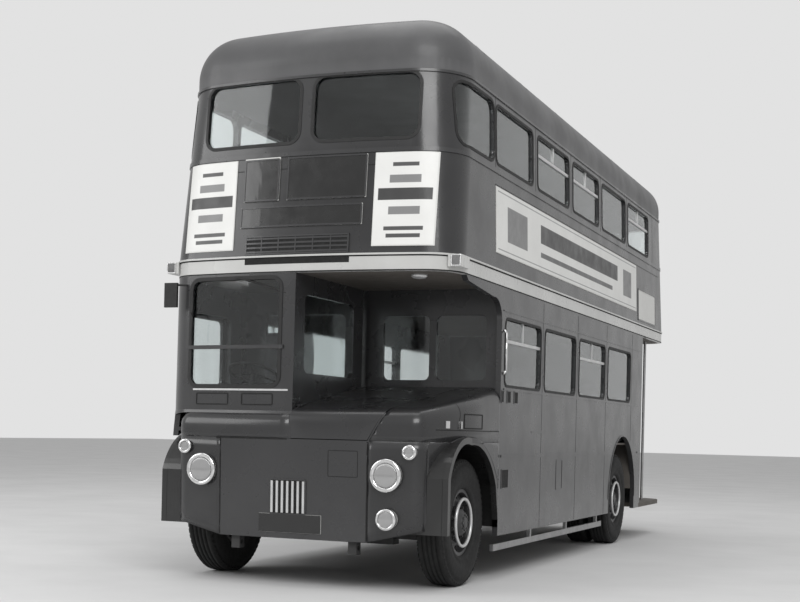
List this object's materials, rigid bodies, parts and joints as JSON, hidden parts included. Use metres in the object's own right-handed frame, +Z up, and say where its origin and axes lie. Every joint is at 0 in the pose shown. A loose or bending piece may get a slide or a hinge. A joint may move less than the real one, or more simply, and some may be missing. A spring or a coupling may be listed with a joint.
{
  "type": "half-cab double decker bus",
  "caption": "Double decker bus with a half cab beside a hinged bonnet, an open rear platform with stairs, sliding cab door, steered front wheels and twin rear wheels.",
  "frame": {"origin": "centre of the bounding box's underside, on the ground between the axles", "axes": "-Y towards the front, +X towards the nearside (bonnet and platform side), +Z up"},
  "size_m": [2.51, 8.3649, 4.38],
  "materials": {
    "body_paint": "gloss",
    "light_paint": "gloss",
    "roof_paint": "satin",
    "black_paint": "gloss",
    "floor_boards": "satin",
    "stair_metal": "satin",
    "tyre": "matte",
    "wheel_paint": "gloss",
    "chassis_steel": "satin",
    "engine_iron": "rough",
    "seat_cloth": "woven",
    "dark_plastic": "matte",
    "glass": "clear",
    "panel_white": "satin",
    "rail_steel": "satin",
    "lamp_metal": "polished"
  },
  "bodies": {
    "coachwork": {"lower_side_nearside": "body_paint", "lower_side_offside": "body_paint", "lower_rear_wall": "body_paint", "front_bulkhead": "body_paint", "cab_shell": "body_paint", "front_panel": "body_paint", "wing_nearside": "body_paint", "wing_offside": "body_paint", "mudguards": "black_paint", "lower_floor": "floor_boards", "platform_bulkhead": "body_paint", "staircase": "stair_metal", "upper_floor": "floor_boards", "band_moulding": "light_paint", "upper_front": "body_paint", "upper_side_nearside": "body_paint", "upper_side_offside": "body_paint", "upper_rear": "body_paint", "roof": "roof_paint", "front_axle": "chassis_steel", "rear_axle": "chassis_steel", "engine_block": "engine_iron", "underframe": "chassis_steel", "saloon_seats": "seat_cloth", "driver_controls": "dark_plastic", "window_glass": "glass", "sign_panels": "panel_white", "rails": "rail_steel", "lamps": "lamp_metal", "air_intake": "black_paint"},
    "knuckle_nearside": {"knuckle_nearside": "chassis_steel"},
    "knuckle_offside": {"knuckle_offside": "chassis_steel"},
    "front_wheel_nearside": {"front_tyre_nearside": "tyre", "front_rim_nearside": "wheel_paint"},
    "front_wheel_offside": {"front_tyre_offside": "tyre", "front_rim_offside": "wheel_paint"},
    "rear_wheels_nearside": {"rear_tyres_nearside": "tyre", "rear_rims_nearside": "wheel_paint"},
    "rear_wheels_offside": {"rear_tyres_offside": "tyre", "rear_rims_offside": "wheel_paint"},
    "bonnet": {"bonnet": "body_paint"},
    "cab_door": {"cab_door": "body_paint", "door_glass": "glass"},
    "emergency_window": {"emergency_window": "body_paint", "exit_glass": "glass"}
  },
  "joints": [
    {"name": "steering_nearside", "type": "hinge", "parent": "coachwork", "child": "knuckle_nearside", "pos_m": [0.825, -3.315, 0.5], "axis": [0, 0, 1], "range_deg": [-35, 35]},
    {"name": "steering_offside", "type": "hinge", "parent": "coachwork", "child": "knuckle_offside", "pos_m": [-0.825, -3.315, 0.5], "axis": [0, 0, 1], "range_deg": [-35, 35]},
    {"name": "front_wheel_spin_nearside", "type": "hinge", "parent": "knuckle_nearside", "child": "front_wheel_nearside", "pos_m": [0.995, -3.315, 0.5], "axis": [1, 0, 0], "continuous": true},
    {"name": "front_wheel_spin_offside", "type": "hinge", "parent": "knuckle_offside", "child": "front_wheel_offside", "pos_m": [-0.995, -3.315, 0.5], "axis": [1, 0, 0], "continuous": true},
    {"name": "rear_wheels_spin_nearside", "type": "hinge", "parent": "coachwork", "child": "rear_wheels_nearside", "pos_m": [0.91, 1.816, 0.5], "axis": [1, 0, 0], "continuous": true},
    {"name": "rear_wheels_spin_offside", "type": "hinge", "parent": "coachwork", "child": "rear_wheels_offside", "pos_m": [-0.91, 1.816, 0.5], "axis": [1, 0, 0], "continuous": true},
    {"name": "bonnet_hinge", "type": "hinge", "parent": "coachwork", "child": "bonnet", "pos_m": [0, -4.115, 1.372], "axis": [0, -0.9867, -0.1628], "range_deg": [0, 60]},
    {"name": "cab_door_slide", "type": "slide", "parent": "coachwork", "child": "cab_door", "axis": [0, 1, 0], "range_m": [0, 0.62]},
    {"name": "emergency_window_hinge", "type": "hinge", "parent": "coachwork", "child": "emergency_window", "pos_m": [0, 4.129, 3.834], "axis": [1, 0, 0], "range_deg": [0, 75]}
  ],
  "couplings": [
    {"joint": "steering_offside", "follows": "steering_nearside", "ratio": 1}
  ]
}
